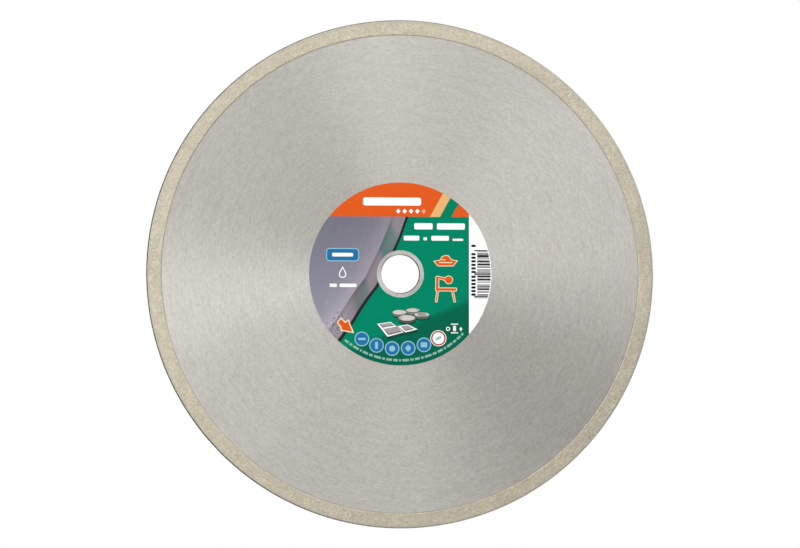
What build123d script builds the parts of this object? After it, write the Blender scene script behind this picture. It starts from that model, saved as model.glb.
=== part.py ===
from build123d import *
import os
from math import sin, cos, radians

# Wet-cutting continuous-rim diamond blade for tile saws, with a reducing ring in its bore.
#
# Frame: origin at the blade's centre, on the arbor axis and in the mid-plane of the steel.
# +Y runs along the arbor axis from the label side (front) to the plain back, +Z is up, and
# +X is to the right as the label is read. Revolved profiles are drawn on Plane.XY, with X
# as radius and Y along the arbor axis. Discs are drawn on Plane.XZ, whose normal is -Y.
# All lengths are in millimetres and all angles in degrees.

# ---------------------------------------------------------------- driving dimensions
blade_diameter = 200.0        # over the cutting rim
rim_height = 6.0              # radial depth of the diamond-bearing rim
rim_thickness = 2.2           # kerf width
rim_edge_round = 0.22         # dressed outer corners of the rim
rim_foot_chamfer = 0.08       # inner corners of the rim's two lips
rim_setback = 0.053           # the bond's edge lies this far inside the blade diameter

core_thickness = 1.6          # ground steel blank
core_overlap = 2.0            # depth of steel gripped between the rim's lips
core_bore = 25.4              # bore of the steel blank
core_bore_chamfer = 0.15
tongue_step = 0.05            # the gripped edge is turned down by this much on each side
tongue_width = 6.0            # radial width; its inner part lies within the full disc

bond_film = 0.05              # sintered bond at each side of the steel's edge and round it
key_count = 36                # dovetail keys cut in the steel's hidden edge
key_depth = 1.3
key_mouth = 1.8
key_root = 2.6
key_runout = 0.5              # the notch cutter runs out past the steel's edge

ring_bore = 15.0              # the saw's arbor
ring_clearance = 0.015        # radial, ring in the steel's bore
ring_thickness = 1.5          # just under the steel, so the flanges grip the steel
ring_chamfer = 0.15           # outer corners of the ring
ring_bore_chamfer = 0.30      # lead-in at both ends of the ring's bore

label_diameter = 72.0
label_hole = 18.5             # diameter
adhesive_hole = 26.6          # diameter; the adhesive stops short of the reducing ring
adhesive_margin = 0.3         # adhesive is set in from the label's outer edge
adhesive_thickness = 0.03
film_thickness = 0.10
laminate_thickness = 0.03

grit_size = 0.42              # across the square waist of one crystal
grit_half_height = 0.20
grit_taper = 35.26            # lean of a crystal's facets from its own axis
grit_sink = 0.17              # depth of a crystal's centre below the bond's surface
grit_sectors = 12             # the crystal pattern repeats round the rim
grit_on_edge = 14             # crystals per sector on the cutting edge
grit_on_side = 7              # crystals per sector on each side face
edge_grit_margin = 0.5        # least distance from an edge crystal's centre to a side face
edge_grit_shift = 0.35        # most an edge crystal strays from even spacing round the rim
side_grit_inner_margin = 0.7  # side crystals' centres start this far outside the groove
side_grit_outer_margin = 0.8  # and end this far inside the bond's edge

# ---------------------------------------------------------------- derived dimensions
rim_outer_r = blade_diameter / 2 - rim_setback
rim_inner_r = blade_diameter / 2 - rim_height
core_r = rim_inner_r + core_overlap
groove_r = core_r + bond_film
half_rim = rim_thickness / 2
half_core = core_thickness / 2
half_tongue = half_core - tongue_step
half_groove = half_tongue + bond_film
# Half-width of the notch where its cutter runs out, with the flanks carried on straight.
key_flare = (key_root - key_mouth) / 2 * key_runout / key_depth
key_runout_half = key_mouth / 2 - key_flare

os.makedirs("parts", exist_ok=True)


def write(builder, name):
    """Name the finished piece and save it under that name."""
    builder.part.label = name
    export_step(builder.part, f"parts/{name}.step")


# ---------------------------------------------------------------- steel core
# A flat ground disc with a thinner tongue round its edge. The tongue is hidden in the rim,
# where dovetail notches key the bond.
with BuildPart() as steel_core:
    with BuildSketch(Plane.XZ):
        Circle(rim_inner_r)
        Circle(core_bore / 2, mode=Mode.SUBTRACT)
    extrude(amount=half_core, both=True)
    bore_edges = steel_core.edges().filter_by(GeomType.CIRCLE).group_by(SortBy.RADIUS)[0]
    chamfer(bore_edges, core_bore_chamfer)

    # Tongue
    with BuildSketch(Plane.XZ):
        Circle(core_r)
        Circle(core_r - tongue_width, mode=Mode.SUBTRACT)
    extrude(amount=half_tongue, both=True)

    # Dovetail notches, each drawn with X pointing outwards from the steel's edge
    with BuildSketch(Plane.XZ):
        with PolarLocations(core_r, key_count):
            Polygon(
                (-key_depth, -key_root / 2),
                (key_runout, -key_runout_half),
                (key_runout, key_runout_half),
                (-key_depth, key_root / 2),
                align=None,
            )
    extrude(amount=half_core, both=True, mode=Mode.SUBTRACT)
write(steel_core, "steel_core")

# ---------------------------------------------------------------- bond layer
# The diamond-free sintered film that wraps the steel's edge and fills the dovetail keys.
with BuildPart() as bond_layer:
    with BuildSketch(Plane.XY):
        with BuildLine():
            Polyline(
                (rim_inner_r, -half_groove),
                (groove_r, -half_groove),
                (groove_r, half_groove),
                (rim_inner_r, half_groove),
                close=True,
            )
        make_face()
    revolve(axis=Axis.Y)
    add(steel_core.part, mode=Mode.SUBTRACT)
write(bond_layer, "bond_layer")

# ---------------------------------------------------------------- diamond crystals
# One synthetic crystal is an octahedron with its two ends cut flat, built as two halves
# that taper away from the square waist.
with BuildPart() as crystal:
    for height in (grit_half_height, -grit_half_height):
        with BuildSketch():
            Rectangle(grit_size, grit_size)
        extrude(amount=height, taper=grit_taper)


def scatter(index):
    """Even, repeatable sequence of values from 0 to 1, stepped by the golden ratio."""
    return (0.5 + index * 0.618034) % 1.0


def rim_location(radius, angle, y, turn):
    """Place on the rim; the angle (radians) runs from +X towards +Z."""
    return Location((radius * cos(angle), y, radius * sin(angle)), turn)


# A sector of crystals in fixed, scattered positions is repeated round the rim. Every crystal
# is sunk past its waist. The turns are arbitrary steps that face each one a different way.
sector_angle = 360.0 / grit_sectors
sector_locations = []

# Cutting edge
edge_grit_band = rim_thickness - 2 * edge_grit_margin
for i in range(grit_on_edge):
    shift = edge_grit_shift * sin(7.0 * i)
    angle = radians((i + 0.5) * sector_angle / grit_on_edge + shift)
    y = (scatter(i) - 0.5) * edge_grit_band
    turn = (47.0 * i + 13.0, 31.0 * i, 71.0 * i)
    sector_locations.append(rim_location(rim_outer_r - grit_sink, angle, y, turn))

# Side faces: each back crystal is turned half round the X axis to give a front one
side_grit_inner_r = groove_r + side_grit_inner_margin
side_grit_band = rim_outer_r - side_grit_outer_margin - side_grit_inner_r
flip_to_front = Location((0, 0, 0), (180, 0, 0))
for i in range(grit_on_side):
    angle = radians((i + 0.7) * sector_angle / grit_on_side)
    radius = side_grit_inner_r + scatter(i) * side_grit_band
    turn = (90.0 + 23.0 * i, 53.0 * i, 37.0 * i)
    back_place = rim_location(radius, angle, half_rim - grit_sink, turn)
    sector_locations += [back_place, flip_to_front * back_place]

crystal_locations = [
    Location((0, 0, 0), (0, sector * sector_angle, 0)) * place
    for sector in range(grit_sectors)
    for place in sector_locations
]

with BuildPart() as diamond_grit:
    with Locations(*crystal_locations):
        add(crystal.part)
write(diamond_grit, "diamond_grit")

# ---------------------------------------------------------------- diamond rim
# The sintered metal matrix: one unbroken ring whose two thin lips straddle the steel's edge.
with BuildPart() as diamond_rim:
    with BuildSketch(Plane.XY):
        with BuildLine():
            Polyline(
                (rim_inner_r, -half_groove),
                (rim_inner_r, -half_rim + rim_foot_chamfer),
                (rim_inner_r + rim_foot_chamfer, -half_rim),
                (rim_outer_r, -half_rim),
                (rim_outer_r, half_rim),
                (rim_inner_r + rim_foot_chamfer, half_rim),
                (rim_inner_r, half_rim - rim_foot_chamfer),
                (rim_inner_r, half_groove),
                (groove_r, half_groove),
                (groove_r, -half_groove),
                close=True,
            )
        profile = make_face()
        outer_corners = profile.vertices().group_by(Axis.X)[-1]
        fillet(outer_corners, rim_edge_round)
    revolve(axis=Axis.Y)
    # Pockets for the crystals
    add(diamond_grit.part, mode=Mode.SUBTRACT)
write(diamond_rim, "diamond_rim")

# ---------------------------------------------------------------- reducing ring
# A plain turned washer that brings the steel's bore down to a smaller arbor.
with BuildPart() as reducing_ring:
    with BuildSketch(Plane.XZ):
        Circle(core_bore / 2 - ring_clearance)
        Circle(ring_bore / 2, mode=Mode.SUBTRACT)
    extrude(amount=ring_thickness / 2, both=True)
    # Both sets are picked before either chamfer adds circles of its own.
    ring_edges = reducing_ring.edges().filter_by(GeomType.CIRCLE).group_by(SortBy.RADIUS)
    bore_ends, outer_ends = ring_edges[0], ring_edges[-1]
    chamfer(bore_ends, ring_bore_chamfer)
    chamfer(outer_ends, ring_chamfer)
write(reducing_ring, "reducing_ring")


# ---------------------------------------------------------------- label
# Three bonded sheets stacked forwards from the steel's front face. The stack stays below
# the rim's side face.
def write_label_sheet(name, back, thickness, outer_r, hole):
    """Build one sheet; back is the distance of its back face in front of the mid-plane."""
    with BuildPart() as sheet:
        with BuildSketch(Plane.XZ.offset(back)):
            Circle(outer_r)
            Circle(hole / 2, mode=Mode.SUBTRACT)
        extrude(amount=thickness)
    write(sheet, name)


label_r = label_diameter / 2
film_back = half_core + adhesive_thickness
laminate_back = film_back + film_thickness

write_label_sheet("label_adhesive", back=half_core, thickness=adhesive_thickness,
                  outer_r=label_r - adhesive_margin, hole=adhesive_hole)
write_label_sheet("label_film", back=film_back, thickness=film_thickness,
                  outer_r=label_r, hole=label_hole)
write_label_sheet("label_overlaminate", back=laminate_back, thickness=laminate_thickness,
                  outer_r=label_r, hole=label_hole)
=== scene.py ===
# A diamond cutting disc with a reducing ring in its bore and a round printed label.
# The disc stands upright in the XZ plane with its axis along Y; the label faces -Y, the front.
import functools
import itertools
import math

import bpy
import numpy as np
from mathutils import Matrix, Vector
from mathutils.geometry import delaunay_2d_cdt


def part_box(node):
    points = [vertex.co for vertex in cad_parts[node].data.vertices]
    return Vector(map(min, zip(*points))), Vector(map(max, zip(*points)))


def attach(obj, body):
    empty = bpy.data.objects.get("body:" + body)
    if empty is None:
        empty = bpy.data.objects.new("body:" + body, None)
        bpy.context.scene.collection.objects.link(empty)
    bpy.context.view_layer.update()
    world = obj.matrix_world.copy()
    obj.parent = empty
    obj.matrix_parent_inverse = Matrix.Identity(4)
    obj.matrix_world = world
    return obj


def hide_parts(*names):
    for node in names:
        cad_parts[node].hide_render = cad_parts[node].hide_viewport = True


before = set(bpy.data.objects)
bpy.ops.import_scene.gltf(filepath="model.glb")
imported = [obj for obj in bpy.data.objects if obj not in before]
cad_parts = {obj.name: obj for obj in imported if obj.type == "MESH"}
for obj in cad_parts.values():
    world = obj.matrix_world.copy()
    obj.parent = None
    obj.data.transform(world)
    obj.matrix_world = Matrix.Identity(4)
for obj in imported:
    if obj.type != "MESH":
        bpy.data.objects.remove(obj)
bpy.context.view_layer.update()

_, rim_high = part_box("diamond_rim")
_, core_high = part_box("steel_core")
film_low, film_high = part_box("label_film")

# Sizes in millimetres; meshes and shaders turn them into metres with MM.
MM = 0.001
RIM_RADIUS = rim_high.x / MM
HALF_RIM = rim_high.y / MM           # half the rim's thickness
CORE_RADIUS = core_high.z / MM       # the steel's edge, hidden in the rim
HALF_CORE = core_high.y / MM         # half the steel's thickness
RIM_FOOT = 94.0 + 0.10               # leaves a sliver of the bond film showing inside the rim, its dark colour a painted shade line at the rim's step
FOOT_CHAMFER = 0.10
BEVEL = 0.38                         # 45 degree bevel on the rim's outer corners
BORE_RADIUS = 7.5
LABEL_RADIUS = film_high.x / MM
LABEL_HOLE = 9.25                    # radius
FILM_FRONT = film_low.y / MM         # y of the face that carries the inks
INK_THICKNESS = 0.006
PRINT_MARGIN = 0.02                  # bare film at the label's edge and round its hole


# ------------------------------------------------------------------ colours and shader trees
def display(red, green, blue):
    """An 8-bit display colour as scene-linear RGBA."""
    channels = []
    for level in (red, green, blue):
        level /= 255.0
        channels.append(level / 12.92 if level <= 0.04045 else ((level + 0.055) / 1.055) ** 2.4)
    return (*channels, 1.0)


def scaled(colour, factor):
    return tuple(min(1.0, channel * factor) for channel in colour[:3]) + (1.0,)


class ShaderTree:
    """Shorthand for building the node tree of a material or world."""

    def __init__(self, owner):
        owner.use_nodes = True
        self.owner = owner
        self.tree = owner.node_tree
        self.tree.nodes.clear()

    def put(self, socket, value):
        """Link a socket, set a value, or leave the default for None."""
        if isinstance(value, bpy.types.NodeSocket):
            self.tree.links.new(value, socket)
        elif value is not None:
            socket.default_value = value[:3] if socket.type == "VECTOR" else value

    def node(self, kind, inputs=None, **settings):
        node = self.tree.nodes.new(kind)
        for key, value in settings.items():
            setattr(node, key, value)
        for key, value in (inputs or {}).items():
            self.put(node.inputs[key], value)
        return node

    def math(self, operation, a, b=None, c=None):
        return self.node("ShaderNodeMath", {0: a, 1: b, 2: c}, operation=operation).outputs[0]

    def add(self, *terms):
        return functools.reduce(lambda a, b: self.math("ADD", a, b), terms)

    def mul(self, *factors):
        return functools.reduce(lambda a, b: self.math("MULTIPLY", a, b), factors)

    def mul_add(self, value, factor, offset):
        return self.math("MULTIPLY_ADD", value, factor, offset)

    def one_minus(self, value):
        return self.math("SUBTRACT", 1.0, value)

    def vector_math(self, operation, a, b=None, out="Vector"):
        node = self.node("ShaderNodeVectorMath", {0: a, 1: b}, operation=operation)
        return node.outputs[out]

    def dot(self, a, b):
        return self.vector_math("DOT_PRODUCT", a, b, out="Value")

    def scale(self, vector, factor):
        inputs = {0: vector, "Scale": factor}
        return self.node("ShaderNodeVectorMath", inputs, operation="SCALE").outputs[0]

    def combine(self, x=None, y=None, z=None):
        return self.node("ShaderNodeCombineXYZ", {0: x, 1: y, 2: z}).outputs[0]

    def components(self, vector):
        return self.node("ShaderNodeSeparateXYZ", {"Vector": vector}).outputs

    def channels(self, colour):
        return self.node("ShaderNodeSeparateColor", {"Color": colour}).outputs

    def coordinate(self, kind="Object"):
        return self.node("ShaderNodeTexCoord").outputs[kind]

    def mapped(self, vector, rotation, scale):
        inputs = {"Vector": vector, "Rotation": rotation, "Scale": scale}
        return self.node("ShaderNodeMapping", inputs).outputs[0]

    def noise(self, vector, scale, detail=2.0, roughness=0.5, out="Fac"):
        inputs = {"Vector": vector, "Scale": scale, "Detail": detail, "Roughness": roughness}
        return self.node("ShaderNodeTexNoise", inputs).outputs[out]

    def voronoi(self, vector, scale, randomness=1.0):
        inputs = {"Vector": vector, "Scale": scale, "Randomness": randomness}
        return self.node("ShaderNodeTexVoronoi", inputs).outputs

    def remap(self, value, source, target=(0.0, 1.0), smooth=False):
        """Carry a value from the source span to the target span, clamped at both ends."""
        inputs = {"Value": value, "From Min": source[0], "From Max": source[1],
                  "To Min": target[0], "To Max": target[1]}
        kind = "SMOOTHSTEP" if smooth else "LINEAR"
        return self.node("ShaderNodeMapRange", inputs, interpolation_type=kind).outputs["Result"]

    def vary(self, noise, low, high):
        """Spread the usual span of a noise over low to high."""
        return self.remap(noise, (0.3, 0.7), (low, high))

    def ramp(self, factor, stops):
        """A colour ramp; stops are (position, colour)."""
        node = self.node("ShaderNodeValToRGB", {"Fac": factor})
        elements = node.color_ramp.elements
        while len(elements) < len(stops):
            elements.new(0.5)
        for element, (position, colour) in zip(elements, stops):
            element.position = position
            element.color = colour
        return node.outputs["Color"]

    def mix(self, factor, a, b, blend="MIX"):
        inputs = {"Factor": factor, 6: a, 7: b}
        node = self.node("ShaderNodeMix", inputs, data_type="RGBA", blend_type=blend)
        return node.outputs[2]

    def mix_shader(self, factor, a, b):
        inputs = {0: factor, 1: a.outputs[0], 2: b.outputs[0]}
        return self.node("ShaderNodeMixShader", inputs).outputs[0]

    def bump(self, height, strength, distance):
        inputs = {"Strength": strength, "Distance": distance, "Height": height}
        return self.node("ShaderNodeBump", inputs).outputs["Normal"]

    def finish(self, shader, output="ShaderNodeOutputMaterial"):
        self.put(self.node(output).inputs["Surface"], shader)
        return self.owner

    def principled(self, inputs):
        return self.finish(self.node("ShaderNodeBsdfPrincipled", inputs).outputs[0])

    def ground_metal(self, colour, metallic, roughness, specular, anisotropy, normal):
        """Metal whose highlight fans out from the disc's axis."""
        tangent = self.node("ShaderNodeTangent", direction_type="RADIAL", axis="Y")
        return self.principled({
            "Base Color": colour, "Metallic": metallic, "Roughness": roughness,
            "Specular IOR Level": specular, "Anisotropic": anisotropy,
            "Anisotropic Rotation": 0.25, "Tangent": tangent.outputs[0], "Normal": normal})

    def matt(self, colour, roughness, normal):
        """Ink or film with almost no shine of its own."""
        return self.principled({"Base Color": colour, "Roughness": roughness,
                                "Specular IOR Level": 0.03, "Normal": normal})


class DiscSpace:
    """Object space in metres, as radius, bearing and distance along the axis."""

    def __init__(self, t):
        self.t = t
        self.position = t.coordinate()
        x, self.y, z = t.components(self.position)
        self.radius = t.math("SQRT", t.add(t.mul(x, x), t.mul(z, z)))
        safe_radius = t.math("MAXIMUM", self.radius, 1e-5)
        self.cosine = t.math("DIVIDE", x, safe_radius)
        self.sine = t.math("DIVIDE", z, safe_radius)

    def ring_noise(self, per_metre, round_cells, offset=0.0, detail=3.0):
        """Noise that runs fast along the radius and slowly round the disc."""
        rings = self.t.combine(self.t.mul_add(self.radius, per_metre, offset),
                               self.t.mul(self.cosine, round_cells),
                               self.t.mul(self.sine, round_cells))
        return self.t.noise(rings, scale=1.0, detail=detail, roughness=0.6)


def new_shader(name):
    return ShaderTree(bpy.data.materials.new(name))


# ------------------------------------------------------------------ metal and crystal
def steel_material(name, base, rough, anisotropy, grain, bore=None):
    """Circular-ground metal; grain is the depth of tone of its rings, bore a radius in mm."""
    t = new_shader(name)
    disc = DiscSpace(t)
    coarse = disc.ring_noise(per_metre=700.0, round_cells=7.0)
    short = disc.ring_noise(per_metre=1700.0, round_cells=42.0, offset=17.0, detail=2.0)
    hair = disc.ring_noise(per_metre=9000.0, round_cells=26.0, offset=31.0)
    tooth = t.noise(disc.position, scale=1500.0, roughness=0.6)
    cloud = t.noise(disc.position, scale=28.0, detail=3.0, roughness=0.55, out="Color")
    # the shares of the four scales in the grinding lines
    lines = t.add(t.mul(coarse, 0.20), t.add(t.mul(short, 0.42), t.mul(hair, 0.18)),
                  t.mul(tooth, 0.20))
    colour = t.scale(base, t.remap(lines, (0.40, 0.60), (1.0 - grain, 1.0 + grain)))
    colour = t.mix(0.035, colour, cloud, blend="OVERLAY")

    # thin handling marks across the grinding
    across = t.mapped(disc.position, rotation=(0.0, 0.5, 0.0), scale=(14.0, 14.0, 900.0))
    scratch = t.remap(t.noise(across, scale=1.0, detail=1.0), (0.70, 0.80))
    colour = t.mix(t.mul(scratch, 0.10), colour, scaled(base, 1.25))
    roughness = t.remap(lines, (0.35, 0.65), (rough - 0.05, rough + 0.05))
    roughness = t.add(roughness, t.mul(scratch, 0.05))

    metallic = 1.0
    specular = 0.5
    if bore:
        # bright-turned chamfers whose colour is darkened as painted shade, and a bore wall
        # painted dark and matt as painted shade
        chamfer = t.remap(disc.radius, ((bore + 0.295) * MM, (bore + 0.27) * MM))
        wall = t.remap(disc.radius, ((bore + 0.035) * MM, (bore + 0.010) * MM))
        # painted shade: the bore wall's colour is near black
        wall_shade = t.mix(lines, (0.016, 0.015, 0.014, 1.0), (0.040, 0.037, 0.034, 1.0))
        # painted shade: the chamfers' colour is darkened
        colour = t.mix(t.mul(chamfer, 0.9), colour, scaled(base, 0.52))
        colour = t.mix(wall, colour, wall_shade)
        metallic = t.one_minus(wall)
        specular = t.mul_add(wall, -0.5, specular)
        chamfer_rough = 0.12
        roughness = t.mul_add(chamfer, chamfer_rough - rough, roughness)
        roughness = t.mul_add(wall, 0.8, roughness)
        anisotropy = t.mul(t.one_minus(chamfer), anisotropy)
    normal = t.bump(lines, strength=0.12, distance=0.00002)
    return t.ground_metal(colour, metallic, roughness, specular, anisotropy, normal)


def worn_and_shaded_edge(t, disc, base, tone, colour, metallic, roughness):
    """Grey wear towards the outer corner, which is rubbed bright but darkened in colour as
    painted shade, then a cutting edge painted near black and matt as painted shade.
    """
    outward = t.combine(disc.cosine, 0.0, disc.sine)
    facing = t.dot(t.coordinate("Normal"), outward)
    worn_span = ((RIM_RADIUS - 1.5) * MM, (RIM_RADIUS - 0.3) * MM)
    worn = t.remap(disc.radius, worn_span, (0.0, 0.40), smooth=True)
    colour = t.mix(worn, colour, (0.40, 0.395, 0.37, 1.0))
    corner = t.remap(facing, (0.35, 0.60), smooth=True)
    near_edge = t.remap(disc.radius, ((RIM_RADIUS - 0.60) * MM, (RIM_RADIUS - 0.50) * MM))
    inside_bevels = t.remap(t.math("ABSOLUTE", disc.y),
                            ((HALF_RIM - 0.36) * MM, (HALF_RIM - 0.40) * MM), smooth=True)
    edge = t.mul(inside_bevels, near_edge)
    # painted shade: the cutting edge between the bevels is coloured near black to stand in for
    # the edge in shadow
    edge_shade_colour = t.scale((0.027, 0.0245, 0.021, 1.0), t.mul(tone, tone))
    # painted shade: the rounded corner's colour is darkened
    colour = t.mix(t.mul(corner, 0.9), colour, scaled(base, 0.64))
    colour = t.mix(edge, colour, edge_shade_colour)
    metallic = t.mul(t.mul_add(corner, 0.22, metallic), t.one_minus(edge))
    specular = t.mul_add(edge, -0.5, 0.5)
    roughness = t.add(t.mul(corner, -0.34), t.mul_add(edge, 0.8, roughness))
    return colour, metallic, roughness, specular


def sintered_material(name, base, has_edge=True):
    """Sintered bond: a dull, grainy metal, ground flat on its faces."""
    t = new_shader(name)
    disc = DiscSpace(t)
    grains = t.voronoi(disc.position, scale=2600.0)
    specks = t.voronoi(disc.position, scale=1250.0)
    mottle = t.noise(disc.position, scale=1100.0, detail=4.0, roughness=0.65)
    patches = t.noise(disc.position, scale=330.0, detail=3.0, roughness=0.55)
    cloud = t.noise(disc.position, scale=60.0, detail=3.0)
    grinding = disc.ring_noise(per_metre=2600.0, round_cells=9.0, offset=5.0)
    grain_level = t.channels(grains["Color"])[0]
    tone = t.mul(t.vary(mottle, 0.85, 1.15), t.vary(patches, 0.935, 1.065),
                 t.vary(cloud, 0.96, 1.04), t.vary(grinding, 0.95, 1.05),
                 t.remap(grain_level, (0.0, 1.0), (0.87, 1.12)))

    # scattered specks: the first span says how rare they are, the second how large
    _, dark_pick, pale_pick = t.channels(specks["Color"])[:3]
    dark = t.mul(t.remap(dark_pick, (0.93, 0.97)), t.remap(specks["Distance"], (0.30, 0.20)))
    pale = t.mul(t.remap(pale_pick, (0.90, 0.95)), t.remap(specks["Distance"], (0.32, 0.22)))
    colour = t.mix(t.mul(dark, 0.5), t.scale(base, tone), scaled(base, 0.45))
    colour = t.mix(t.mul(pale, 0.4), colour, (0.80, 0.78, 0.71, 1.0))

    metallic = 0.75
    specular = 0.5
    roughness = t.vary(mottle, 0.44, 0.60)
    if has_edge:
        colour, metallic, roughness, specular = worn_and_shaded_edge(
            t, disc, base, tone, colour, metallic, roughness)
    relief = t.add(mottle, t.mul(grains["Distance"], 0.5))
    normal = t.bump(relief, strength=0.30, distance=0.00002)
    return t.ground_metal(colour, metallic, roughness, specular, anisotropy=0.45, normal=normal)


def crystal_material(name, base):
    """Glossy crystal whose tone changes from stone to stone."""
    t = new_shader(name)
    position = t.coordinate()
    level = t.channels(t.voronoi(position, scale=900.0)["Color"])[0]
    flaw = t.noise(position, scale=6000.0)
    return t.principled({
        "Base Color": t.scale(base, t.remap(level, (0.0, 1.0), (0.55, 1.35))),
        "Roughness": t.vary(flaw, 0.10, 0.28), "IOR": 2.4,
        "Normal": t.bump(flaw, strength=0.2, distance=0.00001)})


# ------------------------------------------------------------------ film and ink
PRINT_LEVEL = 0.80      # inks are held down, as the studio lights the label a little over one
PALE_LEVEL = 0.93       # the same for white and cream


def ink_material(name, colour, level, fade=None):
    """Screened ink with faint mottle; fade is (second colour, direction, span in mm)."""
    t = new_shader(name)
    position = t.coordinate()
    base = scaled(display(*colour), level)
    if fade:
        second, direction, (start, end) = fade
        along = t.dot(position, direction)
        amount = t.remap(along, (start * MM, end * MM), smooth=True)
        base = t.mix(amount, base, scaled(display(*second), level))
    mottle = t.noise(position, scale=700.0, detail=3.0, roughness=0.6)
    cloud = t.noise(position, scale=60.0)
    screen_at = t.mapped(position, rotation=(0.0, 0.26, 0.0), scale=(1.0, 0.0, 1.0))
    screen = t.voronoi(screen_at, scale=5200.0, randomness=0.0)["Distance"]
    tone = t.mul(t.vary(mottle, 0.975, 1.025), t.vary(cloud, 0.98, 1.02),
                 t.remap(screen, (0.2, 0.6), (1.02, 0.97)))
    return t.matt(t.scale(base, tone), roughness=t.vary(mottle, 0.5, 0.62),
                  normal=t.bump(mottle, strength=0.05, distance=0.000004))


# Ramp stops of the metal panel: (position, 8-bit colour).
# The flat, over 24 mm away from the panel's edge line.
PANEL_FLAT = (
    (0.23, (161, 152, 164)), (0.32, (152, 148, 160)), (0.43, (143, 140, 152)),
    (0.60, (136, 134, 147)), (1.0, (132, 131, 145)))
# The pale strip with two dark bands, over 70 mm along the edge line.
PANEL_STRIP = (
    (0.150, (151, 142, 149)), (0.195, (113, 134, 134)), (0.325, (104, 126, 127)),
    (0.365, (148, 138, 146)), (0.510, (150, 140, 148)), (0.550, (115, 127, 127)),
    (0.630, (119, 122, 125)), (0.670, (146, 137, 145)), (0.740, (161, 152, 159)),
    (1.0, (158, 152, 161)))


def panel_material(name):
    """Printed ground metal on the label's left, laid out by the mesh's edge_mm and along_mm."""
    t = new_shader(name)
    position = t.coordinate()
    distance = t.node("ShaderNodeAttribute", attribute_name="edge_mm").outputs["Fac"]
    along = t.node("ShaderNodeAttribute", attribute_name="along_mm").outputs["Fac"]

    def colours(stops):
        return [(place, display(*colour)) for place, colour in stops]

    streak_at = t.combine(t.mul(distance, 2.4), t.mul(along, 0.07))
    streak = t.noise(streak_at, scale=1.0, detail=4.0, roughness=0.62)

    # the flat: palest beside the strip, darker away from it and towards the top
    flat = t.ramp(t.remap(distance, (0.0, 24.0)), colours(PANEL_FLAT))
    height = t.components(position)[2]
    fall = t.mul(t.remap(height, (-22.0 * MM, 20.0 * MM), (1.42, 0.90)),
                 t.vary(streak, 0.93, 1.07))
    flat = t.scale(flat, fall)

    # the strip beside the edge line, darkening inwards; its bands lean across it
    lean = t.mul_add(t.math("SUBTRACT", distance, 2.5), 0.9, along)
    strip = t.ramp(t.remap(lean, (0.0, 70.0)), colours(PANEL_STRIP))
    dusk = t.mul(t.remap(distance, (3.4, 4.9), (1.0, 0.80), smooth=True),
                 t.vary(streak, 0.96, 1.04))
    strip = t.scale(strip, dusk)

    # coarse teeth of tone at the strip's lower end
    tooth_at = t.combine(t.mul(distance, 0.9), t.mul(along, 1.9))
    tooth = t.remap(t.noise(tooth_at, scale=1.0), (0.42, 0.58), (-0.30, 0.30))
    low_end = t.mul(t.remap(along, (49.0, 53.0), smooth=True),
                    t.remap(distance, (8.5, 6.5), smooth=True))

    on_flat = t.remap(t.mul_add(streak, 0.5, distance), (5.25, 5.75), smooth=True)
    tone = t.mul(t.mul_add(tooth, low_end, 1.0), PRINT_LEVEL,
                 t.vary(t.noise(position, scale=900.0), 0.985, 1.015))
    return t.matt(t.scale(t.mix(on_flat, strip, flat), tone),
                  roughness=t.vary(streak, 0.48, 0.6),
                  normal=t.bump(streak, strength=0.05, distance=0.000004))


def clear_material(name):
    """Clear film: see-through, with a thin gloss on its outer face only."""
    t = new_shader(name)
    ripple = t.noise(t.coordinate(), scale=240.0)
    normal = t.bump(ripple, strength=0.08, distance=0.00002)
    facing = t.node("ShaderNodeLayerWeight", {"Blend": 0.5, "Normal": normal}).outputs["Facing"]
    # least gloss seen face on, and what grazing angles add
    gloss_share = t.mul_add(t.math("POWER", facing, 3.0), 0.75, 0.0015)
    backfacing = t.node("ShaderNodeNewGeometry").outputs["Backfacing"]
    gloss = t.node("ShaderNodeBsdfGlossy",
                   {"Roughness": t.vary(ripple, 0.16, 0.24), "Normal": normal})
    see_through = t.node("ShaderNodeBsdfTransparent")
    outer = t.mul(gloss_share, t.one_minus(backfacing))
    return t.finish(t.mix_shader(outer, see_through, gloss))


def paper_material(name, base):
    t = new_shader(name)
    position = t.coordinate()
    fibre = t.noise(position, scale=1400.0, detail=4.0, roughness=0.6)
    cloud = t.noise(position, scale=90.0)
    tone = t.mul(t.vary(fibre, 0.985, 1.01), t.vary(cloud, 0.99, 1.01))
    return t.matt(t.scale(base, tone), roughness=0.6,
                  normal=t.bump(fibre, strength=0.08, distance=0.000006))


STEEL = (0.650, 0.632, 0.580, 1.0)
TURNED_STEEL = (0.84, 0.82, 0.795, 1.0)
BOND = (0.572, 0.524, 0.413, 1.0)
# the bond film's dark colour is painted shade: the line where the rim's step shades the steel
SHADED_BOND_FILM = (0.27, 0.24, 0.185, 1.0)
CRYSTAL = (0.50, 0.47, 0.30, 1.0)

bond = sintered_material("sintered_bond", BOND)
crystal = crystal_material("diamond_crystal", CRYSTAL)
piece_materials = {
    "steel_core": steel_material(
        "ground_steel", STEEL, rough=0.42, anisotropy=0.93, grain=0.115),
    "reducing_ring": steel_material(
        "turned_steel", TURNED_STEEL, rough=0.34, anisotropy=0.80, grain=0.06,
        bore=BORE_RADIUS),
    "bond_layer": sintered_material("bond_film", SHADED_BOND_FILM, has_edge=False),
    "diamond_grit": crystal,
    "label_film": paper_material("white_film", display(250, 250, 249)),
    "label_adhesive": paper_material("clear_adhesive", display(226, 224, 214)),
    "label_overlaminate": clear_material("clear_overlaminate"),
}
for piece, piece_material in piece_materials.items():
    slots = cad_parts[piece].data.materials
    slots.clear()
    slots.append(piece_material)


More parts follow.
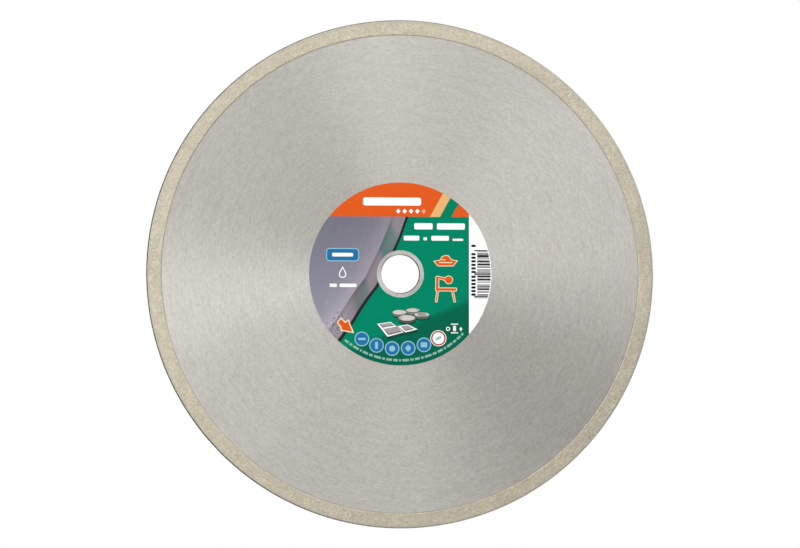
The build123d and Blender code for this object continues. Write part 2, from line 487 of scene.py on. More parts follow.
# ------------------------------------------------------------------ mesh building
def add_mesh(name, points_mm, faces, material, smooth=False):
    """A mesh object that rides on the blade, from points in millimetres."""
    mesh = bpy.data.meshes.new(name)
    mesh.from_pydata((np.array(points_mm) * MM).tolist(), [], faces)
    mesh.validate()
    mesh.update()
    if smooth:
        mesh.polygons.foreach_set("use_smooth", np.ones(len(mesh.polygons), bool))
    mesh.materials.append(material)
    obj = bpy.data.objects.new(name, mesh)
    bpy.context.scene.collection.objects.link(obj)
    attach(obj, "blade")
    return obj


HASH_PRIMES = np.array([73856093, 19349663, 83492791], np.uint64)
LOW_32_BITS = np.uint64(0xFFFFFFFF)


def lattice(cells, seed):
    """A repeatable random value from 0 to 1 for each whole-number cell."""
    hashed = np.bitwise_xor.reduce(cells.astype(np.uint64) * HASH_PRIMES, axis=1)
    hashed = (hashed + np.uint64(seed * 2654435761 % (1 << 32))) & LOW_32_BITS
    for shift, factor in ((15, 2246822519), (13, 3266489917)):
        hashed = hashed ^ (hashed >> np.uint64(shift))
        hashed = (hashed * np.uint64(factor)) & LOW_32_BITS
    hashed = hashed ^ (hashed >> np.uint64(16))
    return hashed.astype(np.float64) / 4294967295.0


def value_noise(points, cell, seed):
    """Smooth noise from 0 to 1, with features about one cell across."""
    places = points / cell + 4096.0         # the shift keeps every cell number positive
    base = np.floor(places).astype(np.int64)
    part = places - base
    part = part * part * (3 - 2 * part)
    total = np.zeros(len(points))
    for corner in itertools.product((0, 1), repeat=3):
        share = np.where(corner, part, 1 - part)
        total += share[:, 0] * share[:, 1] * share[:, 2] * lattice(base + np.array(corner), seed)
    return total


def smooth_step(value, start, end):
    step = np.clip((value - start) / (end - start), 0, 1)
    return step * step * (3 - 2 * step)


# ------------------------------------------------------------------ sintered rim
RIM_SEGMENTS = 2200


def rim_profile():
    """The rim's closed section as (radius, y) points, with the relief each one carries."""
    face_end = RIM_RADIUS - BEVEL - 0.04
    bevel_in = RIM_RADIUS - BEVEL + 0.02
    bevel_out = RIM_RADIUS - 0.02
    bevel_top = HALF_RIM - 0.02
    bevel_foot = HALF_RIM - BEVEL + 0.02
    edge_end = HALF_RIM - BEVEL - 0.04
    hidden = CORE_RADIUS + 0.05
    # radius, y, steps to the next station, relief on those steps; 0 steps skips the station
    stations = (
        (RIM_FOOT, HALF_CORE, 2, 0.15),
        (RIM_FOOT, HALF_RIM - FOOT_CHAMFER, 2, 0.5),
        (RIM_FOOT + FOOT_CHAMFER, HALF_RIM, 22, 1.0),
        (face_end, HALF_RIM, 1, 0.5),
        (bevel_in, bevel_top, 4, 0.22),
        (bevel_out, bevel_foot, 1, 0.5),
        (RIM_RADIUS, edge_end, 7, 1.0),
        (RIM_RADIUS, -edge_end, 1, 0.5),
        (bevel_out, -bevel_foot, 4, 0.22),
        (bevel_in, -bevel_top, 1, 0.5),
        (face_end, -HALF_RIM, 22, 1.0),
        (RIM_FOOT + FOOT_CHAMFER, -HALF_RIM, 0, 0.0),
        (RIM_FOOT, -HALF_RIM + FOOT_CHAMFER, 2, 0.15),
        (RIM_FOOT, -HALF_CORE, 2, 0.0),
        (hidden, -HALF_CORE, 2, 0.0),
        (hidden, HALF_CORE, 2, 0.0),
    )
    profile = []
    relief = []
    for here, ahead in zip(stations, stations[1:] + stations[:1]):
        radius, y, steps, weight = here
        for step in range(steps):
            part = step / steps
            profile.append((radius + (ahead[0] - radius) * part, y + (ahead[1] - y) * part))
            relief.append(weight)
    return np.array(profile), np.array(relief)


def swept(pairs):
    """(radius, y) pairs carried round the axis as x, y, z, one whole section after another."""
    angle = np.arange(RIM_SEGMENTS) * 2 * math.pi / RIM_SEGMENTS
    return np.stack([(pairs[:, 0] * np.cos(angle)[:, None]).ravel(),
                     np.tile(pairs[:, 1], RIM_SEGMENTS),
                     (pairs[:, 0] * np.sin(angle)[:, None]).ravel()], 1)


def relief_depth(points):
    """Depth of a fine grain, and of shallow pits scattered over it."""
    grain = (value_noise(points, cell=0.5, seed=11) * 0.6
             + value_noise(points, cell=1.3, seed=12) * 0.3
             + value_noise(points, cell=4.0, seed=13) * 0.1)
    pitting = (value_noise(points, cell=0.62, seed=14) * 0.65
               + value_noise(points, cell=1.7, seed=15) * 0.35)
    height = (grain - 0.75) * 0.034 - smooth_step(pitting, 0.66, 0.80) * 0.06
    return np.minimum(height, 0.0)


def sintered_rim():
    profile, relief = rim_profile()
    tangent = np.roll(profile, -1, 0) - np.roll(profile, 1, 0)
    tangent /= np.linalg.norm(tangent, axis=1)[:, None]
    outward = np.stack([-tangent[:, 1], tangent[:, 0]], 1)
    points = swept(profile)
    depth = relief_depth(points) * np.tile(relief, RIM_SEGMENTS)
    points = points + swept(outward) * depth[:, None]

    count = len(profile)
    i = np.arange(RIM_SEGMENTS)[:, None]
    j = np.arange(count)[None, :]
    section = i * count
    next_section = ((i + 1) % RIM_SEGMENTS) * count
    next_j = (j + 1) % count
    quads = np.stack([next_section + j, next_section + next_j, section + next_j, section + j], 2)
    rim = add_mesh("sintered_rim", points, quads.reshape(-1, 4).tolist(), bond,
                   smooth=True)
    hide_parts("diamond_rim")


sintered_rim()

# ------------------------------------------------------------------ fine grit
GRIT_COUNT = 5200
GRIT_SIZE = (0.10, 0.20)                # centre to corner
FRONT_SHARE = 0.42                      # of the grit; the cutting edge's share ends at EDGE_SHARE
EDGE_SHARE = 0.84


def cut_cube():
    """Corners at distance 1 and ordered faces of a cube cut back to its edge middles."""
    corners = []
    for axes in itertools.combinations(range(3), 2):
        for signs in itertools.product((-1, 1), repeat=2):
            corner = np.zeros(3)
            corner[list(axes)] = signs
            corners.append(corner)
    corners = np.array(corners) / math.sqrt(2)
    directions = [np.eye(3)[axis] * sign for axis in range(3) for sign in (-1, 1)]
    directions += [np.array(signs) / math.sqrt(3)
                   for signs in itertools.product((-1, 1), repeat=3)]
    faces = []
    for way in directions:
        top = (corners @ way).max()
        face = [n for n, corner in enumerate(corners) if corner @ way > top - 1e-6]
        centre = corners[face].mean(0)
        side = corners[face[0]] - centre
        side /= np.linalg.norm(side)
        other = np.cross(way, side)
        faces.append(sorted(face, key=lambda n: math.atan2(
            (corners[n] - centre) @ other, (corners[n] - centre) @ side)))
    return corners, faces


def random_turn(rng):
    """A rotation matrix from a random quaternion."""
    quaternion = rng.normal(size=4)
    quaternion /= np.linalg.norm(quaternion)
    w, x, y, z = quaternion
    return np.array([
        [1 - 2 * (y * y + z * z), 2 * (x * y - z * w), 2 * (x * z + y * w)],
        [2 * (x * y + z * w), 1 - 2 * (x * x + z * z), 2 * (y * z - x * w)],
        [2 * (x * z - y * w), 2 * (y * z + x * w), 1 - 2 * (x * x + y * y)]])


def fine_grit():
    """Small crystals standing out of both faces and the cutting edge."""
    rng = np.random.default_rng(20)
    corners, cube_faces = cut_cube()
    points = []
    faces = []
    for _ in range(GRIT_COUNT):
        angle = rng.uniform(0, 2 * math.pi)
        size = rng.uniform(*GRIT_SIZE)
        where = rng.uniform()
        if where < FRONT_SHARE or where >= EDGE_SHARE:
            side = -1 if where < FRONT_SHARE else 1
            radius = math.sqrt(rng.uniform((RIM_FOOT + 0.35) ** 2, (RIM_RADIUS - 0.58) ** 2))
            y = side * (HALF_RIM - 0.03 - size * 0.45)
        else:
            radius = RIM_RADIUS - 0.03 - size * 0.5
            y = rng.uniform(-HALF_RIM + 0.52, HALF_RIM - 0.52)
        centre = np.array([radius * math.cos(angle), y, radius * math.sin(angle)])
        first = len(points)
        points.extend((corners * size) @ random_turn(rng).T + centre)
        faces.extend([first + n for n in face] for face in cube_faces)
    add_mesh("fine_grit", points, faces, crystal)


fine_grit()


# ------------------------------------------------------------------ flat outlines
# The print is a set of thin closed sheets inside the clear film, laid out in millimetres
# from the label's centre, u to the right (+X) and v up (+Z).
def ellipse(u, v, half_width, half_height, steps=48):
    angles = [2 * math.pi * k / steps for k in range(steps)]
    return [(u + half_width * math.cos(a), v + half_height * math.sin(a)) for a in angles]


def circle(u, v, radius, steps=64):
    return ellipse(u, v, radius, radius, steps)


def rhombus(u, v, half_width, half_height):
    return [(u + half_width, v), (u, v + half_height), (u - half_width, v), (u, v - half_height)]


def bar(u, v, width, height, corner, turn=0.0, steps=6):
    """A rounded rectangle about (u, v), turned by radians."""
    corner = min(corner, width / 2, height / 2)
    points = []
    for side_u, side_v, start in ((1, 1, 0), (-1, 1, 90), (-1, -1, 180), (1, -1, 270)):
        for k in range(steps + 1):
            angle = math.radians(start + 90 * k / steps)
            points.append((side_u * (width / 2 - corner) + corner * math.cos(angle),
                           side_v * (height / 2 - corner) + corner * math.sin(angle)))
    cosine = math.cos(turn)
    sine = math.sin(turn)
    return [(u + x * cosine - y * sine, v + x * sine + y * cosine) for x, y in points]


def bars(*rows):
    """Bars from rows of centre u, v, width, height, corner radius and, if any, turn."""
    return [bar(*row) for row in rows]


def arc_band(inner, outer, start, end, steps):
    """A piece of a ring between two angles in degrees, anticlockwise from the right."""
    angles = [math.radians(start + (end - start) * k / steps) for k in range(steps + 1)]
    return ([(outer * math.cos(a), outer * math.sin(a)) for a in angles]
            + [(inner * math.cos(a), inner * math.sin(a)) for a in reversed(angles)])


def moved(outline, by_u, by_v):
    return [(u + by_u, v + by_v) for u, v in outline]


def neighbours(loop):
    return zip(loop, loop[1:] + loop[:1])


def signed_area(outline):
    """Twice the area, positive for an anticlockwise outline."""
    return sum(a[0] * b[1] - b[0] * a[1] for a, b in neighbours(outline))


def anticlockwise(outline):
    return list(outline) if signed_area(outline) > 0 else list(reversed(outline))


def grown(outline, by):
    """The outline moved outwards, for a convex or gently concave shape."""
    points = np.array(anticlockwise(outline))
    ahead = np.roll(points, -1, 0) - points
    ahead /= np.maximum(np.linalg.norm(ahead, axis=1)[:, None], 1e-9)
    outward = np.stack([ahead[:, 1], -ahead[:, 0]], 1)
    joint = outward + np.roll(outward, 1, 0)
    joint /= np.maximum(np.linalg.norm(joint, axis=1)[:, None], 1e-9)
    lean = np.maximum((joint * outward).sum(1), 0.5)
    return [tuple(point) for point in points + joint * (by / lean)[:, None]]


# ------------------------------------------------------------------ inks
INK_COLOURS = {         # 8-bit display colours
    "orange": (239, 98, 36), "green": (0, 141, 107), "green_stripe": (0, 139, 102),
    "pale_yellow": (250, 194, 126), "white": (250, 251, 249), "pale_orange": (246, 176, 138),
    "blue": (40, 122, 178), "pale_blue": (152, 208, 226), "black": (34, 33, 32),
    "red": (196, 52, 44), "shadow": (36, 46, 48), "cream": (244, 226, 190),
    "stone": (228, 216, 212), "stone_side": (132, 152, 130), "deep_green": (0, 84, 62),
    "tile": (174, 168, 172), "tile_side": (58, 74, 66), "mist": (150, 196, 178),
}
INK_FADES = {           # second colour, direction of the fade, its span along that in mm
    "green": ((6, 108, 82), (0.38, 0.0, -0.925), (18.2, 21.8)),
    "stone": ((218, 212, 206), (1.0, 0.0, 0.0), (0.0, 10.0)),
    "stone_side": ((84, 96, 86), (0.0, 0.0, -1.0), (14.22, 18.96)),
    "tile": ((182, 168, 174), (1.0, 0.0, 0.0), (-7.11, 6.32)),
}
inks = {}
for ink_name, ink_colour in INK_COLOURS.items():
    ink_level = PALE_LEVEL if ink_name in ("white", "cream") else PRINT_LEVEL
    inks[ink_name] = ink_material("ink_" + ink_name, ink_colour, ink_level,
                                  INK_FADES.get(ink_name))
inks["metal_picture"] = panel_material("ink_metal_picture")


def sheet(name, layer, ink, regions, keep, extra=(), attributes=None):
    """One thin closed sheet of ink: the parts of the overlaid regions that keep accepts.

    keep is given the set of region names over a part; extra points refine the mesh;
    attributes are functions of (u, v) stored on the points.
    """
    coords = []
    loops = []
    owner = []
    for region, outlines in regions.items():
        for outline in outlines:
            first = len(coords)
            coords.extend(Vector(point) for point in anticlockwise(outline))
            loops.append(list(range(first, len(coords))))
            owner.append(region)
    coords.extend(Vector(point) for point in extra)
    points, _, faces, _, _, face_loops = delaunay_2d_cdt(coords, [], loops, 1, 1e-5)
    kept = [face for face, found in zip(faces, face_loops) if keep({owner[n] for n in found})]
    used = sorted({n for face in kept for n in face})
    index = {n: k for k, n in enumerate(used)}
    flat = [(points[n].x, points[n].y) for n in used]
    front = []
    for face in kept:
        face = [index[n] for n in face]
        if signed_area([flat[n] for n in face]) < 0:
            face = face[::-1]
        front.append(face)

    count = len(flat)
    front_y = FILM_FRONT - INK_THICKNESS * layer
    back_y = FILM_FRONT - INK_THICKNESS * (layer - 1)
    solid = [(u, y, v) for y in (front_y, back_y) for u, v in flat]
    edges = dict.fromkeys(edge for face in front for edge in neighbours(face))
    back = [[n + count for n in reversed(face)] for face in front]
    walls = [[q, p, p + count, q + count] for p, q in edges if (q, p) not in edges]
    obj = add_mesh("ink_" + name, solid, front + back + walls, inks[ink])
    for key, function in (attributes or {}).items():
        values = np.array([function(u, v) for u, v in flat] * 2, np.float32)
        obj.data.attributes.new(key, "FLOAT", "POINT").data.foreach_set("value", values)


def stamp(name, layer, ink, outlines, holes=()):
    """Plain shapes in one ink, less any holes."""
    sheet(name, layer, ink, {"shape": outlines, "hole": holes},
          lambda found: "shape" in found and "hole" not in found)


# ------------------------------------------------------------------ colour fields
BEYOND = 60                 # well outside the label
BAND_V = 22.51              # lower edge of the orange band
STRIP_U = 27.11             # left edge of the bare strip on the right
STRIPE_RISE = 20.0          # height over which the stripes are drawn
STRIPE_LEAN = 0.55          # sideways for each millimetre up
STRIPE_FEET = (11.71, 15.66, 20.20)     # u of the stripes' sides on the band's lower edge

# The metal panel's edge: a gently bowed line from the band down to the lower left.
PANEL_EDGE_KNOTS = (
    (4.09, 27.61), (2.11, 22.28), (-0.34, 15.44), (-3.02, 9.20), (-6.18, 2.49), (-9.46, -4.15),
    (-13.05, -8.97), (-16.17, -13.55), (-19.77, -19.23), (-24.19, -25.32), (-29.33, -31.64))


def catmull(knots, steps=14):
    """A smooth line through the knots."""
    knots = [np.array(knot, float) for knot in knots]
    knots = [2 * knots[0] - knots[1]] + knots + [2 * knots[-1] - knots[-2]]
    line = []
    for n in range(1, len(knots) - 2):
        before, start, end, after = knots[n - 1:n + 3]
        for step in range(steps):
            part = step / steps
            line.append(0.5 * (
                2 * start + (end - before) * part
                + (2 * before - 5 * start + 4 * end - after) * part * part
                + (3 * start - before - 3 * end + after) * part ** 3))
    line.append(knots[-2])
    return np.array(line)


panel_edge = catmull(PANEL_EDGE_KNOTS)
panel_edge_length = np.concatenate(
    [[0], np.cumsum(np.linalg.norm(np.diff(panel_edge, axis=0), axis=1))])


def edge_mm(u, v):
    """Distance from the panel's edge line."""
    away = panel_edge - np.array([u, v])
    return float(np.sqrt((away ** 2).sum(1).min()))


def along_mm(u, v):
    """Length down the panel's edge line to its nearest point."""
    away = panel_edge - np.array([u, v])
    return float(panel_edge_length[(away ** 2).sum(1).argmin()])


def field_regions():
    """The overlapping regions that divide up the label's ground."""
    direction = np.gradient(panel_edge, axis=0)
    direction /= np.linalg.norm(direction, axis=1)[:, None]
    rightward = np.stack([-direction[:, 1], direction[:, 0]], 1)
    dark_width = np.linspace(0.95, 1.35, len(panel_edge))[:, None]
    dark_side = panel_edge + rightward * dark_width
    near = [tuple(point) for point in panel_edge]
    far = [tuple(point) for point in dark_side[::-1]]

    top = BAND_V + STRIPE_RISE
    sides = [((foot, BAND_V), (foot + STRIPE_LEAN * STRIPE_RISE, top)) for foot in STRIPE_FEET]
    sides = [((-BEYOND, BAND_V), (-BEYOND, top)), *sides, ((BEYOND, BAND_V), (BEYOND, top))]
    left, yellow, green, right = [[a[0], b[0], b[1], a[1]] for a, b in zip(sides, sides[1:])]
    return {
        "disc": [circle(0, 0, LABEL_RADIUS - PRINT_MARGIN, steps=360)],
        "hole": [circle(0, 0, LABEL_HOLE + PRINT_MARGIN, steps=180)],
        "band": [[(-BEYOND, BAND_V), (BEYOND, BAND_V), (BEYOND, BEYOND), (-BEYOND, BEYOND)]],
        "strip": [[(STRIP_U, -BEYOND), (BEYOND, -BEYOND), (BEYOND, BEYOND), (STRIP_U, BEYOND)]],
        "yellow": [yellow],
        "green": [green],
        "right": [right],
        "left": [left],
        "panel": [near + [(-BEYOND, -BEYOND), (-BEYOND, BEYOND)]],
        "dark": [near + far],
    }


def colour_fields():
    regions = field_regions()

    def field(name, ink, within, without, **more):
        """The printed ground inside any region of within and outside all of without."""
        sheet(name, 1, ink, regions,
              lambda found: ("disc" in found and bool(found & within)
                             and not found & (without | {"hole"})), **more)

    field("orange_band", "orange", {"left", "right"}, {"strip", "yellow", "green"})
    field("yellow_stripe", "pale_yellow", {"yellow"}, {"strip"})
    field("green_stripe", "green_stripe", {"green"}, {"strip"})
    field("green_field", "green", {"disc"}, {"band", "strip", "panel", "dark"})
    field("panel_edge", "shadow", {"dark"}, {"band"})
    # points inside the panel, so that its attributes vary smoothly
    grid = [(u, v) for u in np.arange(-35.5, 10, 0.7) for v in np.arange(-35.5, 22.3, 0.7)
            if 9.9 ** 2 < u * u + v * v < 35.4 ** 2]
    field("metal_panel", "metal_picture", {"panel"}, {"band", "dark"}, extra=grid,
          attributes={"edge_mm": edge_mm, "along_mm": along_mm})


colour_fields()


# ------------------------------------------------------------------ bars and marks
def title_and_sizes():
    """White bars and marks in the orange band and on the green field below it."""
    stamp("title_bar", 2, "white", bars((-3.26, 28.44, 22.91, 3.16, 0.95)))
    marks = [rhombus(-0.81 + k * 2.51, 24.68, 0.91, 0.99) for k in range(5)]
    stamp("rating_marks", 2, "white", marks[:4])
    stamp("rating_mark_pale", 2, "pale_orange", marks[4:])
    stamp("name_bars", 2, "white", bars(
        (9.14, 18.76, 7.27, 2.45, 0.55), (19.96, 18.76, 11.06, 2.45, 0.55)))
    stamp("size_bars", 2, "white", bars(
        (4.40, 14.10, 6.16, 1.90, 0.43), (9.85, 13.86, 1.42, 1.18, 0.32),
        (15.70, 14.10, 6.95, 1.90, 0.43), (22.73, 13.55, 4.19, 0.87, 0.28)))


PLATE_U = -22.77            # the plate and the drop share this centre line
PLATE_V = 7.43
DROP_V = 0.67


def drop(half_width, half_height, lift=0.0):
    """A drop with its point upwards."""
    points = []
    for k in range(40):
        angle = 2 * math.pi * k / 40
        x = math.sin(angle) * (math.sin(angle / 2) ** 1.6) * half_width
        points.append((PLATE_U + x, DROP_V + (math.cos(angle) * half_height + lift)))
    return points


def plate_and_drop():
    """Blue plate, drop outline and note bars on the metal panel."""
    plate = bar(PLATE_U, PLATE_V, 12.24, 4.50, 1.03)
    stamp("plate_border", 2, "pale_blue", [grown(plate, 0.36)])
    stamp("plate", 3, "blue", [plate])
    stamp("plate_bar", 4, "white", bars((PLATE_U, PLATE_V, 8.29, 1.42, 0.47)))
    stamp("drop", 2, "white", [drop(2.13, 2.37)], holes=[drop(1.50, 1.74, lift=-0.22)])
    stamp("note_bars", 2, "white", bars(
        (-26.48, -4.62, 2.84, 1.34, 0.32), (-20.64, -4.62, 6.71, 1.34, 0.32)))


TRAY = [(13.49, 4.94), (15.86, 5.41), (16.57, 6.75), (17.67, 7.19), (18.86, 7.11),
        (19.81, 6.04), (20.12, 5.49), (22.26, 5.17), (20.79, 3.40), (14.99, 3.32)]


def tray_and_bench():
    """Two orange pictures with a pale border: a tray, and a bench with a disc."""
    stamp("tray_border", 2, "cream", [grown(TRAY, 0.30)])
    stamp("tray", 3, "orange", [TRAY])
    stamp("tray_mark", 4, "cream", bars(
        (17.91, 4.54, 5.13, 0.39, 0.15), (17.04, 5.65, 1.82, 0.28, 0.12)))
    bench = [
        *bars((18.07, -6.04, 8.06, 0.99, 0.24), (14.59, -3.44, 0.95, 4.58, 0.24),
              (16.41, -1.70, 4.19, 0.67, 0.24, -0.22)),
        circle(19.10, -2.25, 1.42, steps=36),
        *bars((14.47, -8.65, 0.43, 4.50, 0.16, -0.14), (20.99, -8.65, 0.43, 4.50, 0.16, 0.20))]
    stamp("bench_border", 2, "cream", [grown(shape, 0.28) for shape in bench])
    stamp("bench", 3, "orange", bench)


# ------------------------------------------------------------------ stones and slabs
# centre u, v, half width, half height
STONES = ((4.96, -14.30, 2.73, 0.83), (-0.34, -15.13, 2.76, 0.99),
          (8.43, -15.96, 3.08, 0.95), (2.51, -17.30, 3.40, 1.22))
# name, layer, ink, shift in u and v, scale of width and height
STONE_LAYERS = (
    ("stone_shadows", 2, "deep_green", 0.20, -1.42, 1.02, 1.05),
    ("stone_sides", 3, "stone_side", 0.0, -0.91, 0.93, 1.0),
    ("stone_lips", 4, "tile_side", 0.0, -0.18, 1.01, 1.0),
    ("stones", 5, "stone", 0.0, 0.0, 0.97, 0.93))
SLABS = (
    [(-9.18, -19.71), (-3.89, -18.92), (-2.07, -20.18), (1.36, -22.95), (-5.08, -24.76)],
    [(-1.13, -20.58), (2.90, -19.87), (6.85, -21.76), (2.03, -23.03)])
# name, layer, ink, shift in u and v
SLAB_LAYERS = (
    ("slab_shadow", 2, "deep_green", 0.36, -1.03),
    ("slab_side", 3, "tile_side", 0.12, -0.43),
    ("slab", 4, "white", 0.0, 0.0))
TILE_CELLS = (
    [(-8.23, -19.87), (-4.05, -19.27), (-2.39, -20.34), (-7.05, -21.17)],
    [(-6.62, -21.68), (-1.52, -20.81), (0.65, -22.75), (-4.76, -24.09)],
    [(0.22, -20.70), (2.78, -20.26), (5.51, -21.64), (1.96, -22.39)])


def tile_in(cell):
    """A tile shrunk inside its cell and set a little up and to the left."""
    centre_u = sum(point[0] for point in cell) / 4
    centre_v = sum(point[1] for point in cell) / 4
    return [(centre_u + (u - centre_u) * 0.90 - 0.10, centre_v + (v - centre_v) * 0.82 + 0.12)
            for u, v in cell]


def stones_and_slabs():
    for name, layer, ink, by_u, by_v, wide, high in STONE_LAYERS:
        stamp(name, layer, ink, [ellipse(u + by_u, v + by_v, half_width * wide,
                                         half_height * high)
                                 for u, v, half_width, half_height in STONES])
    for name, layer, ink, by_u, by_v in SLAB_LAYERS:
        stamp(name, layer, ink, [moved(slab, by_u, by_v) for slab in SLABS])
    stamp("tile_joints", 5, "tile_side", TILE_CELLS)
    stamp("tiles", 6, "tile", [tile_in(cell) for cell in TILE_CELLS])


# ------------------------------------------------------------------ arrow, discs, small marks
ARROW = [(-24.51, -19.23), (-23.44, -17.81), (-21.62, -19.47), (-20.64, -18.56),
         (-18.90, -22.87), (-23.05, -22.08), (-23.20, -20.93)]
DISCS = ((-15.15, -25.67), (-9.38, -28.16), (-3.22, -29.38), (3.10, -29.19), (9.34, -27.84))
RED_RING = (15.03, -25.24)
CORNER_RING = (18.82, -21.52)
CORNER_MARK = (21.39, -21.37)


def arrow_and_discs():
    """The arrow that shows the rotation, then a row of discs that ends in a red ring."""
    stamp("arrow_border", 2, "cream", [grown(ARROW, 0.45)])
    stamp("arrow", 3, "orange", [ARROW])
    stamp("disc_borders", 2, "pale_blue", [circle(u, v, 2.88) for u, v in DISCS])
    stamp("discs", 3, "blue", [circle(u, v, 2.49) for u, v in DISCS])
    stamp("disc_marks", 4, "pale_blue", [
        bar(*DISCS[0], 3.00, 0.87, 0.32), bar(*DISCS[1], 1.18, 2.76, 0.32),
        circle(*DISCS[2], 1.18, steps=36), rhombus(*DISCS[3], 1.26, 1.42),
        bar(*DISCS[4], 2.61, 1.97, 0.32)])
    stamp("ring_ground", 2, "white", [circle(*RED_RING, 3.16)])
    stamp("ring", 3, "red", [circle(*RED_RING, 2.88)], holes=[circle(*RED_RING, 2.33)])
    stamp("ring_mark", 3, "pale_blue", [bar(*RED_RING, 2.37, 0.95, 0.32, turn=0.5)])


def corner_marks():
    """Small white marks low on the right."""
    stamp("corner_ring", 2, "white", [circle(*CORNER_RING, 0.83, steps=32)],
          holes=[circle(*CORNER_RING, 0.47, steps=32)])
    u, v = CORNER_MARK
    stamp("corner_marks", 2, "white", [
        *bars((u, v + 1.70, 2.92, 0.43, 0.2), (u, v - 1.70, 2.92, 0.43, 0.2),
              (u, v, 1.18, 2.21, 0.47)),
        rhombus(23.91, -21.60, 0.59, 0.95)])


DASH_START = 230.0          # degrees anticlockwise from the right
DASH_END = 318
DASH_GAP = 0.95
DASH_LENGTHS = (            # degrees; the row stops before the first that would pass DASH_END
    3.1, 1.9, 4.2, 1.3, 3.6, 2.4, 4.8, 1.7, 3.9, 2.8, 1.2, 4.4, 2.1, 3.3, 1.6, 4.6, 2.7, 3.8,
    1.4, 4.1, 2.3, 3.0, 1.8, 4.5, 2.6)


def border_dashes():
    """Dashes along the label's lower edge."""
    dashes = []
    angle = DASH_START
    for length in DASH_LENGTHS:
        if angle + length > DASH_END:
            break
        dashes.append(arc_band(33.53, 34.44, angle, angle + length, steps=5))
        angle += length + DASH_GAP
    stamp("border_dashes", 2, "mist", dashes)


# ------------------------------------------------------------------ stock code
CODE_TOP = 9.52
CODE_LENGTH = 18.92
CODE_LEFT = 30.39
CODE_LONG_LEFT = 29.21      # left end of the longer guard bars
CODE_RIGHT = 35.84
CODE_WIDTHS = (             # bar, gap, bar, ... from the top, in units of the thinnest
    2, 1, 1, 2, 2, 1, 4, 1, 1, 1, 1, 2, 3, 1, 1, 1, 3, 2, 2, 3, 1, 1, 1, 1, 1, 1, 2, 1, 2, 1,
    3, 2, 3, 1, 1, 2, 1, 3, 1, 1, 2, 1, 1, 1, 3, 2, 1, 1, 1, 3, 2, 1, 2, 1, 1)


def code_bars():
    """The code's bars, one below another."""
    unit = CODE_LENGTH / sum(CODE_WIDTHS)
    guards = (0, 26, 28, len(CODE_WIDTHS) - 3, len(CODE_WIDTHS) - 1)
    shapes = []
    top = CODE_TOP
    for n, width in enumerate(CODE_WIDTHS):
        if n % 2 == 0:
            v = top - width * unit / 2
            left = CODE_LONG_LEFT if n in guards else CODE_LEFT
            # a bar stops short of the label's round edge
            right = min(CODE_RIGHT, math.sqrt((LABEL_RADIUS - 0.35) ** 2 - v * v))
            shapes.append(bar((left + right) / 2, v, right - left, width * unit * 1.12,
                              corner=0.02, steps=1))
        top -= width * unit
    stamp("code_bars", 1, "black", shapes)


def code_marks():
    """The column of marks left of the code: one above, then two groups of six."""
    centres = [11.18]
    for n in range(1, 13):
        group_gap = 0.51 if n > 6 else 0
        centres.append(7.90 - (n - 1) * 1.40 - group_gap)
    stamp("code_marks", 1, "black", [bar(28.89, v, 1.78, 0.91, 0.32) for v in centres])


title_and_sizes()
plate_and_drop()
tray_and_bench()
stones_and_slabs()
arrow_and_discs()
corner_marks()
border_dashes()
code_bars()
code_marks()


# ------------------------------------------------------------------ studio
def heading(bearing, off_axis):
    """A direction, in degrees: bearing seen from the front (0 right, 90 up), angle from -Y."""
    bearing = math.radians(bearing)
    off_axis = math.radians(off_axis)
    return (math.sin(off_axis) * math.cos(bearing), -math.cos(off_axis),
            math.sin(off_axis) * math.sin(bearing))


ROOM_LEVEL = 0.766
ROOM_FLOOR = 0.02           # the darkest the room may get
# Soft panels round the room. (angle off the axis, tightness): (bearing, amount), where a
# minus sign is a dark card. The last group is level with the disc.
PANELS = {
    (22, 40.0): ((0, -0.179), (30, -0.121), (60, -0.441), (90, -0.064), (210, -0.199),
                 (270, -0.254), (330, -0.401)),
    (45, 16.0): ((30, 0.294), (150, -0.409), (180, 0.529), (240, 0.200), (300, 0.300),
                 (330, -0.623)),
    (70, 8.0): ((30, 0.448), (180, 0.480), (330, -0.417)),
    (6, 60.0): ((45, -0.577),),
    (90, 14.0): ((120, -0.32), (150, -0.62), (175, -0.80), (200, -0.62), (225, -0.52),
                 (250, -0.36), (275, -0.18), (50, 0.35), (20, 0.15), (300, 0.15), (330, 0.60)),
}


def studio_world():
    """A room of soft panels for the light, and plain white for the camera."""
    world = bpy.data.worlds.new("studio")
    bpy.context.scene.world = world
    t = ShaderTree(world)
    camera_ray = t.node("ShaderNodeLightPath").outputs["Is Camera Ray"]
    x, y, z = t.components(t.vector_math("NORMALIZE", t.coordinate("Generated")))
    # the room is the same in front of the blade and behind it
    way = t.combine(x, t.mul(t.math("ABSOLUTE", y), -1.0), z)
    glows = []
    for (off_axis, tightness), panels in PANELS.items():
        for bearing, amount in panels:
            toward = t.math("MAXIMUM", t.dot(way, heading(bearing, off_axis)), 0.0)
            glows.append(t.mul(t.math("POWER", toward, tightness), amount))
    level = t.math("MAXIMUM", t.add(*glows, ROOM_LEVEL), ROOM_FLOOR)
    tint = t.node("ShaderNodeCombineColor", {0: level, 1: level, 2: level}).outputs[0]
    room = t.node("ShaderNodeBackground", {"Color": tint, "Strength": 1.0})
    white = t.node("ShaderNodeBackground", {"Color": (1.0, 1.0, 1.0, 1.0), "Strength": 1.0})
    t.finish(t.mix_shader(camera_ray, room, white), output="ShaderNodeOutputWorld")


def softbox(name, bearing, off_axis, distance, size, watts, front):
    """A round area light that faces the blade's centre."""
    light = bpy.data.lights.new(name, "AREA")
    light.shape = "DISK"
    light.size = size
    light.energy = watts
    obj = bpy.data.objects.new(name, light)
    bpy.context.scene.collection.objects.link(obj)
    way = Vector(heading(bearing, off_axis))
    if not front:
        way.y = -way.y
    obj.location = way * distance
    obj.rotation_mode = "QUATERNION"
    obj.rotation_quaternion = way.to_track_quat("Z", "Y")
    obj.visible_camera = False


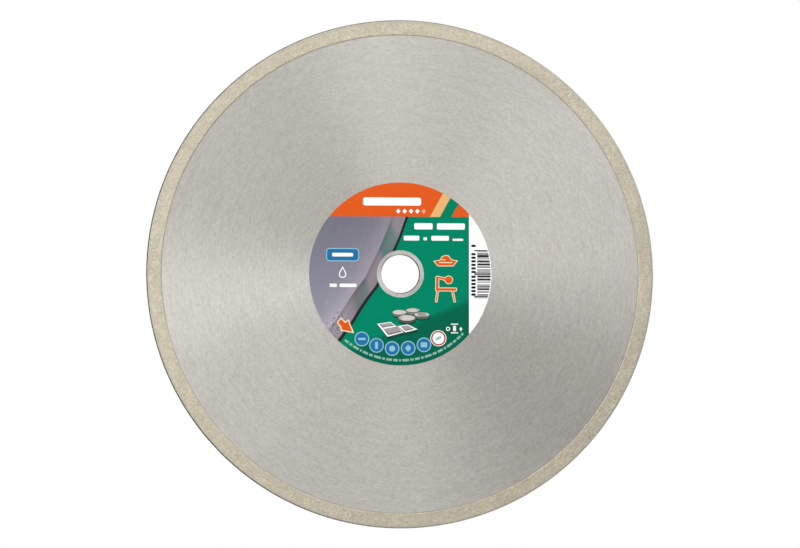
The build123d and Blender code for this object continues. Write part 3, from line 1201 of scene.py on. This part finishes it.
# bearing, watts
NEAR_SOFTBOXES = ((45, 0.130), (90, 0.205), (135, 0.228), (180, 0.183), (225, 0.067),
                  (270, 0.073))
# side, bearing, watts
FAR_SOFTBOXES = (("right", 0, 0.17), ("left", 180, 0.37))


def softboxes():
    """The same lights in front of the blade and behind it."""
    for face in ("front", "back"):
        for bearing, watts in NEAR_SOFTBOXES:
            softbox(f"{face}_softbox_{bearing}", bearing, off_axis=38, distance=0.42,
                    size=0.22, watts=watts, front=face == "front")
        for side, bearing, watts in FAR_SOFTBOXES:
            softbox(f"{face}_far_softbox_{side}", bearing, off_axis=48, distance=0.9,
                    size=0.45, watts=watts, front=face == "front")


def floor_material():
    """Pale and speckled, fading to white with distance."""
    t = new_shader("pale_floor")
    position = t.coordinate()
    distance = t.mul(t.vector_math("LENGTH", position, out="Value"), 1.0)
    speckle = t.noise(position, scale=60.0, detail=4.0, roughness=0.6)
    base = t.ramp(speckle, [(0.3, (0.80, 0.80, 0.79, 1.0)), (0.7, (0.86, 0.86, 0.85, 1.0))])
    matte = t.node("ShaderNodeBsdfDiffuse", {"Color": base})
    glow = t.node("ShaderNodeEmission", {"Color": (1.0, 1.0, 1.0, 1.0), "Strength": 1.0})
    fade = t.remap(distance, (1.2, 9.0), smooth=True)
    return t.finish(t.mix_shader(fade, matte, glow))


def studio_floor():
    """A floor well below the blade that neither lights nor shades it; sizes in metres."""
    half_side = 60.0
    z = -0.35
    corners = [(x * half_side, y * half_side, z) for x, y in ((-1, -1), (1, -1), (1, 1), (-1, 1))]
    mesh = bpy.data.meshes.new("floor")
    mesh.from_pydata(corners, [], [(0, 1, 2, 3)])
    floor = bpy.data.objects.new("floor", mesh)
    bpy.context.scene.collection.objects.link(floor)
    floor.visible_glossy = False
    floor.visible_diffuse = False
    floor.visible_shadow = False
    mesh.materials.append(floor_material())


CAMERA_DISTANCE = 4.0       # metres
CAMERA_OFF_AXIS = 6.4
CAMERA_BEARING = 210.0
CAMERA_AIM = (-0.00004, 0.0, 0.0)


def studio_camera():
    """A long lens, a little below the axis and to its left."""
    data = bpy.data.cameras.new("camera")
    camera = bpy.data.objects.new("camera", data)
    bpy.context.scene.collection.objects.link(camera)
    camera.location = Vector(heading(CAMERA_BEARING, CAMERA_OFF_AXIS)) * CAMERA_DISTANCE
    back = camera.location - Vector(CAMERA_AIM)
    camera.rotation_mode = "QUATERNION"
    camera.rotation_quaternion = back.to_track_quat("Z", "Y")
    data.lens = 458.2
    data.sensor_width = 36.0
    data.clip_start = 0.01
    data.clip_end = 100.0
    bpy.context.scene.camera = camera


studio_world()
softboxes()
studio_floor()
studio_camera()
bpy.context.scene.view_settings.view_transform = "Standard"
bpy.context.scene.view_settings.look = "None"
